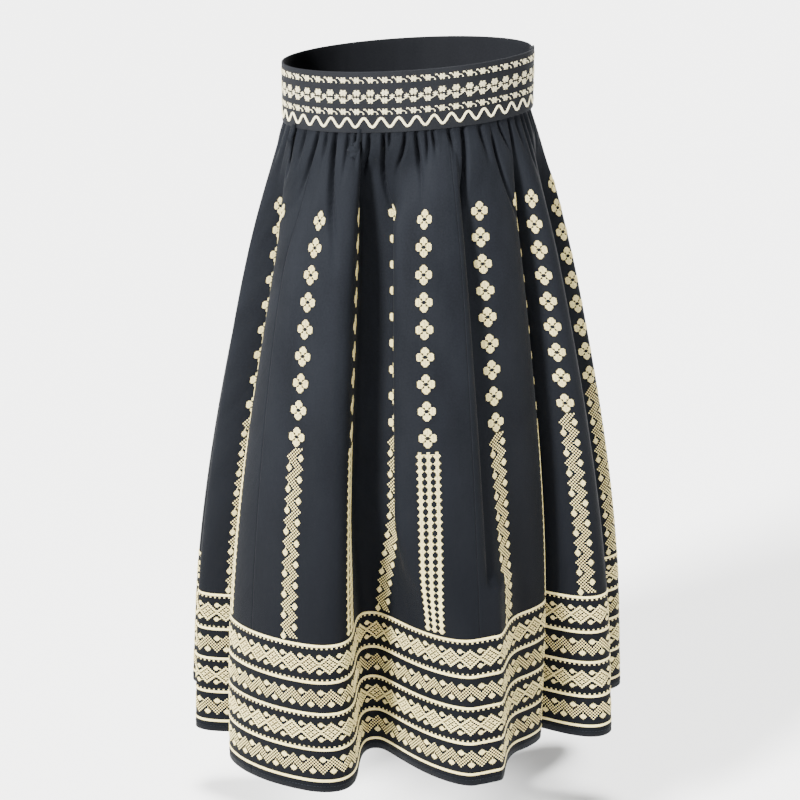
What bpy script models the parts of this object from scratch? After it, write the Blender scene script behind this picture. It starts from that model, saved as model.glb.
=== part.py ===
"""Long gathered skirt with a wide waistband: six gores, each one wall of cotton, hung from one lapped strip.

Metres, +Z up. The front faces -Y and the wearer's left is at +X. The origin is the middle of the waistband.
A place on the cloth is a drop below the waist seam and a column: one column is the pitch of the upright
rows of embroidery, which stand at whole numbers on the front gore.
"""
import math

import bmesh
import bpy
import numpy as np

# Cut of the skirt
BAND_HEIGHT = 0.072
BAND_THICKNESS = 0.0024
BAND_LAP = 0.025
LAP_ANGLE = 79.0
LAP_CLEAR = 0.005
CUT_LENGTH = 0.804
CLOTH_THICKNESS = 0.0014
GORES = ("gore_front", "gore_left_front", "gore_left_back", "gore_back", "gore_right_back", "gore_right_front")
GORE_COLUMNS = 4
SEAM_MARGIN = 0.13
PITCH_AT_WAIST = 0.0735
PITCH_AT_HEM = 0.0985
SEAM_GAP = 0.0003
FIRST_SEAM = -GORE_COLUMNS + 0.5 - SEAM_MARGIN
GORE_SPAN = GORE_COLUMNS + 2 * SEAM_MARGIN
ROUND = GORE_SPAN * len(GORES)

# How it hangs: half width and half depth of the ring through the crests of the folds, by drop
RINGS = (
    # drop, half_width, half_depth
    (0.000, 0.150, 0.108),
    (0.030, 0.160, 0.121),
    (0.120, 0.188, 0.156),
    (0.300, 0.230, 0.204),
    (0.610, 0.281, 0.256),
    (0.804, 0.294, 0.270),
)
TILT_AT_WAIST = 0.060
TILT_AT_HEM = 0.035
BODY_ROOM_AT_WAIST = 0.010
BODY_ROOM_SLOPE = 0.34
DEEPEST_FOLD = 0.16

# Eleven hanging folds, each a crest and the valley after it, toward the wearer's left.
# Angles in degrees from the front toward +X, as at the hem; turn is added at the waist.
# reach: how far the crest stands out at the hem. Breadths: 1 is even, more is broader.
# lap: how far the crest's near edge folds back over the valley before it. opens: drop where it is full.
FOLDS = (
    # column, crest, valley, turn, reach, crest_near, crest_far, valley_near, valley_far, lap, opens
    (-2.80, -24.1, -10.7, -7.1, 0.012, 4.5, 5.0, 2.9, 0.8, 0.0, 0.05),
    (0.55, 16.6, 23.2, 0.5, 0.000, 0.6, 3.4, 2.2, 0.5, 3.3, 0.16),
    (1.65, 36.0, 50.2, 3.0, -0.052, 1.9, 3.9, 0.7, 0.8, 0.0, 0.15),
    (3.57, 60.8, 76.6, 2.0, 0.006, 2.5, 1.2, 1.0, 1.0, 0.4, 0.15),
    (5.66, 90.0, 109.0, -2.0, -0.006, 1.3, 1.2, 1.0, 1.0, 0.0, 0.17),
    (8.26, 127.0, 144.0, 2.0, 0.005, 1.2, 1.3, 1.0, 1.0, 1.5, 0.15),
    (10.71, 162.0, 179.0, 0.0, -0.004, 1.2, 1.3, 1.0, 1.0, 0.0, 0.12),
    (13.12, 196.0, 212.0, -2.0, 0.006, 1.3, 1.2, 1.0, 1.0, 0.9, 0.17),
    (15.40, 228.0, 243.0, 1.0, -0.005, 1.2, 1.4, 1.0, 1.0, 0.0, 0.15),
    (17.52, 258.0, 274.0, -4.0, 0.004, 1.2, 1.2, 1.0, 1.0, 1.2, 0.14),
    (19.72, 288.5, 303.0, -8.0, -0.004, 1.1, 1.1, 1.0, 1.2, 0.0, 0.17),
)
LAP_STARTS = 0.03
LAP_FULL = 0.12
LAP_FADES = 0.46
LAP_ENDS = 0.64
LAP_IN_VALLEY = 0.55

# Gathers of the front: a trough runs from its column at the seam to its column at its foot
GATHERS = (
    # column, foot, length, depth, half_width, head
    (-4.77, -4.55, 0.060, 0.0045, 0.09, 0.012),
    (-4.25, -4.20, 0.045, 0.0035, 0.10, 0.012),
    (-3.68, -3.80, 0.080, 0.0045, 0.09, 0.012),
    (-3.32, -3.25, 0.040, 0.0030, 0.09, 0.012),
    (-2.99, -2.56, 0.150, 0.0065, 0.10, 0.025),
    (-2.54, -2.55, 0.055, 0.0035, 0.08, 0.012),
    (-2.30, -2.26, 0.040, 0.0030, 0.06, 0.012),
    (-2.01, -1.62, 0.100, 0.0060, 0.09, 0.020),
    (-1.70, -1.66, 0.060, 0.0045, 0.08, 0.012),
    (-1.26, -1.00, 0.120, 0.0055, 0.07, 0.015),
    (-1.08, -1.06, 0.020, 0.0035, 0.06, 0.008),
    (-0.62, -0.85, 0.060, 0.0040, 0.07, 0.012),
    (-0.29, -0.10, 0.075, 0.0045, 0.08, 0.012),
    (-0.25, -0.20, 0.260, 0.0030, 0.26, 0.090),
    (0.02, 0.04, 0.045, 0.0030, 0.08, 0.012),
    (0.20, 0.27, 0.030, 0.0040, 0.07, 0.012),
    (0.66, 0.76, 0.030, 0.0045, 0.07, 0.010),
    (1.01, 0.88, 0.160, 0.0075, 0.08, 0.012),
    (1.45, 1.60, 0.050, 0.0035, 0.09, 0.012),
    (1.82, 2.14, 0.130, 0.0045, 0.11, 0.040),
    (2.23, 2.58, 0.040, 0.0040, 0.08, 0.012),
    (2.86, 2.81, 0.055, 0.0040, 0.10, 0.012),
)
# Gathers of the sides and back: this run is laid again and again, every other time mirrored
SIDE_FROM = 3.30
SIDE_TO = 20.40
SIDE_RUN = (
    # step, lean, length, depth, half_width
    (0.46, 0.08, 0.055, 0.0045, 0.09),
    (0.40, -0.05, 0.085, 0.0050, 0.08),
    (0.52, 0.22, 0.150, 0.0070, 0.11),
    (0.38, 0.02, 0.040, 0.0035, 0.08),
    (0.50, -0.12, 0.070, 0.0045, 0.09),
    (0.43, 0.10, 0.110, 0.0060, 0.08),
    (0.55, -0.20, 0.240, 0.0085, 0.15),
    (0.41, 0.04, 0.045, 0.0035, 0.09),
    (0.47, 0.12, 0.060, 0.0045, 0.08),
)
SIDE_HEAD = 0.014
# A gather has a share of its depth at the seam and all of it a head below; a soft one starts from nothing
SEAM_SHARE = 0.5
SOFT_HEAD = 0.03
FADE_FROM = 0.25

# Rows and columns of the solids
DROPS = (0.0, 0.010, 0.028, 0.055, 0.095, 0.150, 0.240, 0.350, 0.440, 0.540, 0.670, CUT_LENGTH)
GORE_STATIONS = 44
FINE = 4
FOLD_SAMPLES = 24
FALL_SAMPLES = 401
HALVINGS = 20
BAND_STATIONS = 132
RING_SAMPLES = 721

NAVY = (0.036, 0.044, 0.056, 1.0)
BAND_NAVY = (0.042, 0.045, 0.053, 1.0)


def ease(x):
    """0 to 1 with level ends."""
    x = np.clip(x, 0, 1)
    return x * x * (3 - 2 * x)


def through(x, knots, values):
    """The smooth curve through a table's values."""
    slopes = np.gradient(values, knots)
    i = np.clip(np.searchsorted(knots, x, side="right") - 1, 0, len(knots) - 2)
    width = knots[i + 1] - knots[i]
    t = (x - knots[i]) / width
    first, last, slope_first, slope_last = cubic(t)
    return (
        first * values[i]
        + last * values[i + 1]
        + width * (slope_first * slopes[i] + slope_last * slopes[i + 1])
    )


def cubic(t):
    """Weights of the two ends and the two end slopes of a cubic."""
    last = 3 * t**2 - 2 * t**3
    return 1 - last, last, t**3 - 2 * t**2 + t, t**3 - t**2


def ring(drops):
    """Half width and half depth through the crests."""
    table = np.array(RINGS)
    return through(drops, table[:, 0], table[:, 1]), through(drops, table[:, 0], table[:, 2])


def heights(drops):
    """Z on the front and back middle: the cloth falls less where the ring widens."""
    fine = np.linspace(0, CUT_LENGTH, FALL_SAMPLES)
    flare = np.gradient(np.mean(ring(fine), axis=0), fine)
    fall = np.sqrt(1 - flare**2)
    down = np.concatenate([[0], np.cumsum((fall[1:] + fall[:-1]) / 2 * np.diff(fine))])
    return -BAND_HEIGHT / 2 - SEAM_GAP - np.interp(drops, fine, down)


def tilt(drops):
    """Rise toward +X."""
    return TILT_AT_WAIST + (TILT_AT_HEM - TILT_AT_WAIST) * drops / CUT_LENGTH


def fold_plan(drops, depth):
    """Plan points of each fold, crest to next crest, for a depth of each fold at each drop."""
    crest, valley, turn, reach, crest_near, crest_far, valley_near, valley_far, lap = np.array(FOLDS).T[1:-1]
    share = drops[:, None] / CUT_LENGTH
    crest = crest + turn * (1 - share)
    valley = valley + turn * (1 - share)
    next_crest = np.roll(crest, -1, axis=1)
    next_crest[:, -1] += 360
    lapping = ease((drops - LAP_STARTS) / (LAP_FULL - LAP_STARTS))
    lapping *= 1 - ease((drops - LAP_FADES) / (LAP_ENDS - LAP_FADES))
    lap = lapping[:, None] * np.roll(lap, -1)
    weights = cubic(np.linspace(0, 1, FOLD_SAMPLES, endpoint=False))

    def run(start, end, slope_start, slope_end):
        ends = (start, end, slope_start, slope_end)
        return sum(value[..., None] * weight for value, weight in zip(ends, weights))

    inward = valley - crest
    outward = next_crest - valley
    level = np.zeros_like(inward)
    near_crest = np.roll(crest_near, -1)
    angle = np.concatenate(
        [
            run(crest, valley, crest_far * inward, valley_near * inward),
            run(valley, next_crest, (valley_far + LAP_IN_VALLEY * lap) * outward, (near_crest + lap) * outward),
        ],
        axis=-1,
    )
    out = reach * share
    next_out = np.roll(reach, -1) * share
    floor = out - depth
    offset = np.concatenate([run(out, floor, level, level), run(floor, next_out, level, level)], axis=-1)
    half_width, half_depth = (half[:, None, None] for half in ring(drops))
    return beside_ring(np.radians(angle), offset, half_width, half_depth)


def beside_ring(angle, offset, half_width, half_depth):
    """Plan point at an angle on a ring, moved square to it."""
    across, along = np.sin(angle), -np.cos(angle)
    square = np.hypot(across / half_width, along / half_depth)
    x = half_width * across + offset * across / half_width / square
    y = half_depth * along + offset * along / half_depth / square
    return x, y


def steps(x, y):
    """Lengths from each point of a closed ring of folds to the next."""
    rings = [plan.reshape(len(plan), -1) for plan in (x, y)]
    step = np.hypot(*(np.roll(plan, -1, axis=1) - plan for plan in rings))
    return step.reshape(x.shape)


def sections(drops):
    """Plan points and columns of the cloth's ring at each drop; the last point closes it."""
    table = np.array(FOLDS)
    column, opens = table[:, 0], table[:, -1]
    span = np.roll(column, -1) - column
    span[-1] += ROUND
    pitch = PITCH_AT_WAIST + (PITCH_AT_HEM - PITCH_AT_WAIST) * drops / CUT_LENGTH
    cloth = span * pitch[:, None]
    shallow = np.zeros_like(cloth)
    deep = shallow + DEEPEST_FOLD
    for _ in range(HALVINGS):
        middle = (shallow + deep) / 2
        short = steps(*fold_plan(drops, middle)).sum(axis=-1) < cloth
        shallow = np.where(short, middle, shallow)
        deep = np.where(short, deep, middle)
    reach = table[:, 4] * drops[:, None] / CUT_LENGTH
    room = BODY_ROOM_AT_WAIST + BODY_ROOM_SLOPE * drops[:, None] + reach
    depth = shallow * room / (shallow**4 + room**4) ** 0.25 * ease(drops[:, None] / opens)
    x, y = fold_plan(drops, depth)
    step = steps(x, y)
    along = (np.cumsum(step, axis=-1) - step) / step.sum(axis=-1, keepdims=True)
    columns = column[:, None] + span[:, None] * along
    x, y, columns = (values.reshape(len(drops), -1) for values in (x, y, columns))
    return np.hstack([x, x[:, :1]]), np.hstack([y, y[:, :1]]), np.hstack([columns, columns[:, :1] + ROUND])


def all_gathers():
    """The front's gathers and the run that goes round the sides and back."""
    rows = list(GATHERS)
    place, lean_side, turn = SIDE_FROM, 1, 0
    while place < SIDE_TO:
        run = SIDE_RUN if turn % 2 == 0 else SIDE_RUN[::-1]
        for step, lean, length, depth, half_width in run:
            if place < SIDE_TO:
                rows.append((place, place + lean_side * lean, length, depth, half_width, SIDE_HEAD))
            place += step
        lean_side, turn = -lean_side, turn + 1
    return rows


def gather_depth(columns, drops):
    """How far the gathers push the cloth in."""
    depth = np.zeros((len(drops), len(columns)))
    for column, foot, length, deepest, half_width, head in all_gathers():
        path = column + (foot - column) * ease(drops / length)
        at_seam = SEAM_SHARE if head < SOFT_HEAD else 0
        strength = at_seam + (1 - at_seam) * ease(drops / head)
        strength *= 1 - ease((drops / length - FADE_FROM) / (1 - FADE_FROM))
        away = (columns[None, :] - path[:, None] + ROUND / 2) % ROUND - ROUND / 2
        depth += deepest * strength[:, None] * np.exp(-((away / half_width) ** 2))
    return depth


def outward(x, y):
    """Plan directions square to closed rings, facing out."""
    run_x, run_y = (np.roll(plan, -1, axis=1) - np.roll(plan, 1, axis=1) for plan in (x, y))
    length = np.hypot(run_x, run_y)
    return run_y / length, -run_x / length


def drape(drops, columns):
    """Outer and inner points of the cloth: arrays by drop, column and axis. Columns cover one round evenly."""
    ring_x, ring_y, ring_columns = sections(drops)
    wrapped = (columns - ring_columns[:, :1]) % ROUND + ring_columns[:, :1]
    x = np.array([np.interp(*row) for row in zip(wrapped, ring_columns, ring_x)])
    y = np.array([np.interp(*row) for row in zip(wrapped, ring_columns, ring_y)])
    out_x, out_y = outward(x, y)
    push = gather_depth(columns, drops)
    x, y = x - push * out_x, y - push * out_y
    out_x, out_y = outward(x, y)
    level = heights(drops)[:, None]
    rise = tilt(drops)[:, None]
    inner_x, inner_y = x - CLOTH_THICKNESS * out_x, y - CLOTH_THICKNESS * out_y
    outer = np.stack([x, y, level + rise * x], axis=-1)
    inner = np.stack([inner_x, inner_y, level + rise * x], axis=-1)
    return outer, inner


def fabric(name, colour):
    material = bpy.data.materials.new(name)
    material.use_nodes = True
    shader = material.node_tree.nodes["Principled BSDF"]
    shader.inputs["Base Color"].default_value = colour
    shader.inputs["Roughness"].default_value = 0.82
    shader.inputs["Metallic"].default_value = 0.0
    material.diffuse_color = colour
    return material


def wall(name, outer, inner, material):
    """One closed piece of cloth between two grids of points that run to the wearer's left and down."""
    mesh = bmesh.new()
    sheets = [[[mesh.verts.new(point) for point in row] for row in grid] for grid in (outer, inner)]
    face, back = sheets
    rows, stations = len(face), len(face[0])
    for j in range(rows - 1):
        for i in range(stations - 1):
            mesh.faces.new((face[j][i], face[j + 1][i], face[j + 1][i + 1], face[j][i + 1]))
            mesh.faces.new((back[j][i], back[j][i + 1], back[j + 1][i + 1], back[j + 1][i]))
    for i in range(stations - 1):
        mesh.faces.new((face[0][i], face[0][i + 1], back[0][i + 1], back[0][i]))
        mesh.faces.new((face[-1][i], back[-1][i], back[-1][i + 1], face[-1][i + 1]))
    for j in range(rows - 1):
        mesh.faces.new((face[j][0], back[j][0], back[j + 1][0], face[j + 1][0]))
        mesh.faces.new((face[j][-1], face[j + 1][-1], back[j + 1][-1], back[j][-1]))
    bmesh.ops.triangulate(mesh, faces=mesh.faces)
    data = bpy.data.meshes.new(name)
    mesh.to_mesh(data)
    mesh.free()
    data.shade_smooth()
    data.set_sharp_from_angle(angle=math.radians(60))
    data.materials.append(material)
    piece = bpy.data.objects.new(name, data)
    bpy.context.scene.collection.objects.link(piece)
    return piece


def add_gores(material):
    """Each gore is its own stretch of the draped ring, half a seam gap short at each side."""
    fine = GORE_STATIONS * FINE
    columns = FIRST_SEAM + GORE_SPAN / fine * np.arange(fine * len(GORES))
    outer, inner = drape(np.array(DROPS), columns)
    for number, name in enumerate(GORES):
        picked = (number * fine + FINE * np.arange(GORE_STATIONS + 1)) % len(columns)
        sheets = []
        for grid in (outer, inner):
            sheet = grid[:, picked].copy()
            for end, beside in ((0, 1), (-1, -2)):
                toward = sheet[:, beside] - sheet[:, end]
                toward /= np.linalg.norm(toward, axis=-1, keepdims=True)
                sheet[:, end] += toward * SEAM_GAP / 2
            sheets.append(sheet)
        wall(name, sheets[0], sheets[1], material)


def add_waistband(material):
    """One strip round the waist whose end laps over its start at the wearer's left side."""
    half_width, half_depth = (float(half[0]) for half in ring(np.array([0.0])))
    angles = np.linspace(0, 2 * math.pi, RING_SAMPLES)
    arcs = np.hypot(half_width * np.diff(np.sin(angles)), half_depth * np.diff(np.cos(angles)))
    around = np.concatenate([[0], np.cumsum(arcs)])
    start = np.interp(math.radians(LAP_ANGLE), angles, around)
    along = np.linspace(0, around[-1] + BAND_LAP, BAND_STATIONS + 1)
    angle = np.interp((start + along) % around[-1], around, angles)
    rising = (along - around[-1] + 2 * BAND_LAP) / (2 * BAND_LAP - LAP_CLEAR)
    lift = (BAND_THICKNESS + SEAM_GAP) * ease(rising)
    sheets = []
    for offset in (lift + BAND_THICKNESS / 2, lift - BAND_THICKNESS / 2):
        x, y = beside_ring(angle, offset, half_width, half_depth)
        rows = [np.stack([x, y, z + TILT_AT_WAIST * x], axis=-1) for z in (BAND_HEIGHT / 2, -BAND_HEIGHT / 2)]
        sheets.append(rows)
    wall("waistband", sheets[0], sheets[1], material)


def main():
    for old in list(bpy.data.objects):
        bpy.data.objects.remove(old)
    add_waistband(fabric("waistband cotton", BAND_NAVY))
    add_gores(fabric("skirt cotton", NAVY))


main()
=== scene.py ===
"""Looks of a long gathered skirt: draped navy cotton, cream embroidery laid over it, and a plain studio.

Metres, +Z up. The front faces -Y and the wearer's left is at +X. The origin is the middle of the waistband.
A place on the cloth is a drop below the waist seam and a column: one column is the pitch of the upright
rows of embroidery, which stand at whole numbers on the front gore.
"""
import math
import re

import bmesh
import bpy
import numpy as np
from mathutils import Matrix


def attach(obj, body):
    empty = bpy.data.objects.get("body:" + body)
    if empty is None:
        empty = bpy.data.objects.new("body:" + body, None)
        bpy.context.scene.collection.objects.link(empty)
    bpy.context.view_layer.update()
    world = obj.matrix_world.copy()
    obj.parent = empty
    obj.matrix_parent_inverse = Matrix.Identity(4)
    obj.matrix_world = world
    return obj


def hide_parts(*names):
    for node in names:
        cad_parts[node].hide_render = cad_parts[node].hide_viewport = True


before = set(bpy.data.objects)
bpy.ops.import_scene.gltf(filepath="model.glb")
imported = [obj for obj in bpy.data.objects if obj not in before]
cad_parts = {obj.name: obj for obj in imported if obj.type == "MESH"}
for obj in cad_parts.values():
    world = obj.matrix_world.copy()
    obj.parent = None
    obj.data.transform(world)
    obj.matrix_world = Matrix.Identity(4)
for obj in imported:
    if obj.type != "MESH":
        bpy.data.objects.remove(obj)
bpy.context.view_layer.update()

# Cut of the skirt
BAND_HEIGHT = 0.072
BAND_THICKNESS = 0.0024
BAND_LAP = 0.025
LAP_ANGLE = 79.0
LAP_CLEAR = 0.005
CUT_LENGTH = 0.804
CLOTH_THICKNESS = 0.0012
GORES = (
    "gore_front",
    "gore_left_front",
    "gore_left_back",
    "gore_back",
    "gore_right_back",
    "gore_right_front",
)
GORE_COLUMNS = 4
SEAM_MARGIN = 0.13
PITCH_AT_WAIST = 0.0735
PITCH_AT_HEM = 0.0985
SEAM_GAP = 0.0003
FIRST_SEAM = -GORE_COLUMNS + 0.5 - SEAM_MARGIN
GORE_SPAN = GORE_COLUMNS + 2 * SEAM_MARGIN
ROUND = GORE_SPAN * len(GORES)

# How it hangs: half width and half depth of the ring through the crests of the folds, by drop
RINGS = (
    # drop, half_width, half_depth
    (0.000, 0.150, 0.108),
    (0.030, 0.160, 0.121),
    (0.120, 0.188, 0.156),
    (0.300, 0.230, 0.204),
    (0.610, 0.281, 0.256),
    (0.804, 0.294, 0.270),
)
TILT_AT_WAIST = 0.060
TILT_AT_HEM = 0.035
BODY_ROOM_AT_WAIST = 0.010
BODY_ROOM_SLOPE = 0.34
DEEPEST_FOLD = 0.16

# Eleven hanging folds, each a crest and the valley after it, toward the wearer's left.
# Angles in degrees from the front toward +X, as at the hem; turn is added at the waist.
# reach: how far the crest stands out at the hem. Breadths: 1 is even, more is broader.
# lap: how far the crest's near edge folds back over the valley before it. opens: drop where it is full.
FOLDS = (
    # column, crest, valley, turn, reach, crest_near, crest_far, valley_near, valley_far, lap, opens
    (-2.80, -24.1, -10.7, -7.1, 0.012, 4.5, 5.0, 2.9, 0.8, 0.0, 0.05),
    (0.55, 16.6, 23.2, 0.5, 0.000, 0.6, 3.4, 2.2, 0.5, 3.3, 0.16),
    (1.65, 36.0, 50.2, 3.0, -0.052, 1.9, 3.9, 0.7, 0.8, 0.0, 0.15),
    (3.57, 60.8, 76.6, 2.0, 0.006, 2.5, 1.2, 1.0, 1.0, 0.4, 0.15),
    (5.66, 90.0, 109.0, -2.0, -0.006, 1.3, 1.2, 1.0, 1.0, 0.0, 0.17),
    (8.26, 127.0, 144.0, 2.0, 0.005, 1.2, 1.3, 1.0, 1.0, 1.5, 0.15),
    (10.71, 162.0, 179.0, 0.0, -0.004, 1.2, 1.3, 1.0, 1.0, 0.0, 0.12),
    (13.12, 196.0, 212.0, -2.0, 0.006, 1.3, 1.2, 1.0, 1.0, 0.9, 0.17),
    (15.40, 228.0, 243.0, 1.0, -0.005, 1.2, 1.4, 1.0, 1.0, 0.0, 0.15),
    (17.52, 258.0, 274.0, -4.0, 0.004, 1.2, 1.2, 1.0, 1.0, 1.2, 0.14),
    (19.72, 288.5, 303.0, -8.0, -0.004, 1.1, 1.1, 1.0, 1.2, 0.0, 0.17),
)
LAP_STARTS = 0.03
LAP_FULL = 0.12
LAP_FADES = 0.46
LAP_ENDS = 0.64
LAP_IN_VALLEY = 0.55

# Gathers of the front: a trough runs from its column at the seam to its column at its foot
GATHERS = (
    # column, foot, length, depth, half_width, head
    (-4.77, -4.55, 0.060, 0.0045, 0.09, 0.012),
    (-4.25, -4.20, 0.045, 0.0035, 0.10, 0.012),
    (-3.68, -3.80, 0.080, 0.0045, 0.09, 0.012),
    (-3.32, -3.25, 0.040, 0.0030, 0.09, 0.012),
    (-2.99, -2.56, 0.150, 0.0065, 0.10, 0.025),
    (-2.54, -2.55, 0.055, 0.0035, 0.08, 0.012),
    (-2.30, -2.26, 0.040, 0.0030, 0.06, 0.012),
    (-2.01, -1.62, 0.100, 0.0060, 0.09, 0.020),
    (-1.70, -1.66, 0.060, 0.0045, 0.08, 0.012),
    (-1.26, -1.00, 0.120, 0.0055, 0.07, 0.015),
    (-1.08, -1.06, 0.020, 0.0035, 0.06, 0.008),
    (-0.62, -0.85, 0.060, 0.0040, 0.07, 0.012),
    (-0.29, -0.10, 0.075, 0.0045, 0.08, 0.012),
    (-0.25, -0.20, 0.260, 0.0030, 0.26, 0.090),
    (0.02, 0.04, 0.045, 0.0030, 0.08, 0.012),
    (0.20, 0.27, 0.030, 0.0040, 0.07, 0.012),
    (0.66, 0.76, 0.030, 0.0045, 0.07, 0.010),
    (1.01, 0.88, 0.160, 0.0075, 0.08, 0.012),
    (1.45, 1.60, 0.050, 0.0035, 0.09, 0.012),
    (1.82, 2.14, 0.130, 0.0045, 0.11, 0.040),
    (2.23, 2.58, 0.040, 0.0040, 0.08, 0.012),
    (2.86, 2.81, 0.055, 0.0040, 0.10, 0.012),
)
# The solids have those gathers as they are; here all but the broad one are longer, deeper and narrower
GATHER_LONGER = 1.15
GATHER_DEEPER = 2.17
GATHER_NARROWER = 0.62
BROAD_GATHER = 0.20
# Gathers of the sides and back: this run is laid again and again, every other time mirrored
SIDE_FROM = 3.30
SIDE_TO = 20.40
SIDE_RUN = (
    # step, lean, length, depth, half_width
    (0.46, 0.08, 0.055, 0.0045, 0.09),
    (0.40, -0.05, 0.085, 0.0050, 0.08),
    (0.52, 0.22, 0.150, 0.0070, 0.11),
    (0.38, 0.02, 0.040, 0.0035, 0.08),
    (0.50, -0.12, 0.070, 0.0045, 0.09),
    (0.43, 0.10, 0.110, 0.0060, 0.08),
    (0.55, -0.20, 0.240, 0.0085, 0.15),
    (0.41, 0.04, 0.045, 0.0035, 0.09),
    (0.47, 0.12, 0.060, 0.0045, 0.08),
)
SIDE_HEAD = 0.014
# A gather has a share of its depth at the seam and all of it a head below; a soft one starts from nothing
SEAM_SHARE = 0.5
SOFT_HEAD = 0.03
FADE_FROM = 0.25

# Rows and columns of the draped cloth
CLOTH_ROWS = 86
ROW_CROWDING = 1.35
CLOTH_COLUMNS = 134
SEAM_COLUMN = 0.25
SEAM_GROOVE = 0.0003
TUCKED_IN = 0.005
FOLD_SAMPLES = 48
FALL_SAMPLES = 401
HALVINGS = 22
RING_SAMPLES = 721

# Waistband
BAND_STATIONS = 260
BAND_ROWS = 10
BAND_TURN = 0.0009

# Threads and stitches; a stitch's foot and crown are drawn in, as shares of its narrower side
WARP_PITCH = 0.00042
WEFT_PITCH = 0.00046
WEAVE_HEIGHT = 0.00008
RUMPLE_HEIGHT = 0.0022
SATIN_PITCH = 0.00038
SATIN_HEIGHT = 0.00010
STITCH_LIFT = 0.0006
STITCH_SINK = 0.0002
STITCH_FOOT = 0.84
STITCH_CROWN = 0.62
LONGEST_STITCH = 0.0065
THREAD_WIDTH = 0.0010

# Upright columns of embroidery
FLOWERS = 9
FIRST_FLOWER = 0.1036
FLOWER_PITCH = 0.0320
LATTICE_FROM = 0.3805
LATTICE_ROWS = 26
LATTICE_PITCH = 0.0089
LATTICE_ACROSS = 0.0103
LATTICE_ARC_RISE = 0.0012
ZIGZAG_FROM = 0.3725
ZIGZAG_REPEATS = 9
ZIGZAG_UNIT = 0.00217

# Border: each band's middle drop; all its motifs repeat sixteen times on a gore
BORDER_REPEATS = 16
BORDER_PITCH = 0.0254
BORDER_UNIT = BORDER_PITCH / 12
LINE_WIDTH = 0.0037
LINE_LIFT = 1.2 * STITCH_LIFT
LINE_STATIONS = 9
TEETH_PER_REPEAT = 4
TOOTH = 0.0026
BORDER = (
    # kind, drop, teeth side
    ("line", 0.6132, -1),
    ("diamonds", 0.6366, 0),
    ("line", 0.6600, 1),
    ("zigzag", 0.6805, 0),
    ("line", 0.7011, -1),
    ("diamonds", 0.7245, 0),
    ("line", 0.7479, 1),
    ("zigzag", 0.7684, 0),
    ("line", 0.7890, 0),
)
HEM_STITCH_DROP = 0.7965
HEM_STITCH_PITCH = 0.0042
HEM_STITCH = (0.0028, 0.0005)

# Charts: a run of marks in a row is one stitch, or a few where it is long
FLOWER_CELL = (0.00142, 0.00136)
FLOWER = (
    "......###......",
    ".....#####.....",
    "....#######....",
    "....#######....",
    "....#######....",
    ".###..###..###.",
    "#####.###.#####",
    "######...######",
    "#####.....#####",
    "######...######",
    "#####.###.#####",
    ".###..###..###.",
    "....#######....",
    "....#######....",
    "....#######....",
    ".....#####.....",
    "......###......",
)
ROSETTE_CELL = (0.00132, 0.00148)
ROSETTE = (
    "..###..",
    "..###..",
    ".#####.",
    "#######",
    ".#####.",
    "..###..",
)
DIAMOND_CELL = (BORDER_PITCH / 11, 0.00192)
DIAMOND = (
    "......#......",
    ".....###.....",
    "....##.##....",
    "...##.#.##...",
    "..##.###.##..",
    ".##.#.#.#.##.",
    "##.###.###.##",
    ".##.#.#.#.##.",
    "..##.###.##..",
    "...##.#.##...",
    "....##.##....",
    ".....###.....",
    "......#......",
)
SMALL_BUD_CELL = (0.00102, 0.00098)
SMALL_BUD_RISE = 0.0096
SMALL_BUD = (
    "..###..",
    ".#####.",
    "#######",
    "#######",
    ".#####.",
    "..###..",
)
BUD_CELL = (0.00102, 0.00116)
BUD = (
    "....#....",
    "..#####..",
    ".#######.",
    "#########",
    ".#######.",
    "..#####..",
    "....#....",
)
BAND_FLOWER_CELL = (0.00112, 0.00112)
UPPER_TWIN_CELL = (0.00130, 0.00120)
BAND_FLOWER = (
    ".##.##.",
    ".#####.",
    "#######",
    "#######",
    ".#####.",
    ".##.##.",
)
BAND_SPRIG_CELL = (0.00120, 0.00120)
BAND_SPRIG = (
    "..#..",
    "#####",
    ".###.",
    "#####",
    "..#..",
)

# Waistband rows: height of each above the band's lower edge, and each row's repeat
WAVE_LOW = 0.0070
WAVE_HIGH = 0.0175
WAVE_PITCH = 0.0206
WAVE_WIDTH = 0.0031
WAVE_LIFT = 0.0011
WAVE_STEPS = 14
BAND_PITCH = 0.0167
HOOK_ROWS = (0.0252, 0.0622)
TWIN_HIGH = 0.0472
TWIN_LOW = 0.0384
TWIN_LINK = 0.0428
HOOK_DOT = 0.0019
HOOK_WIDTH = 0.8 * THREAD_WIDTH
# Where the rows start, along the strip from its end at the lap
WAVE_START = 0.0003
BAND_START = 0.0017

# Colours
NAVY = (0.0018, 0.0024, 0.0038, 1.0)
# The lighter navy of the worn patches, which is also painted light: it shows near the waist and fades out
# toward the hem
NAVY_WORN_AND_LIT = (0.0070, 0.0082, 0.0110, 1.0)
BAND_NAVY = (0.0065, 0.0070, 0.0088, 1.0)
BAND_WORN = (0.0110, 0.0118, 0.0140, 1.0)
CREAM = (0.95, 0.84, 0.38, 1.0)
CREAM_DEEP = (0.66, 0.53, 0.22, 1.0)
WHITE_THREAD = (0.97, 0.90, 0.55, 1.0)
WHITE_DEEP = (0.70, 0.62, 0.40, 1.0)
DARK_THREAD = (0.020, 0.024, 0.032, 1.0)
PALE = (0.92, 0.92, 0.91, 1.0)
# Finishes: roughness, specular, sheen, bump
SKIRT_COTTON = (0.78, 0.08, 0.015, 0.6)
BAND_COTTON = (0.82, 0.08, 0.015, 0.4)
SATIN_THREAD = (0.55, 0.3, 0.1, 0.6)
SEWING_THREAD = (0.6, 0.1, 0.0, 0.4)
# Heights on the cloth from the waist seam for painted light: the worn patches show in full above the first
# and not at all below the second, so the cloth darkens toward the hem
PAINTED_LIGHT_FROM = -0.10
PAINTED_LIGHT_TO = -0.75

# Camera of the photograph
CAMERA_PLACE = (-0.008, -2.5, 0.495)
CAMERA_DOWN = 19.87
CAMERA_LENS = 93.6
SENSOR = 36.0
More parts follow.
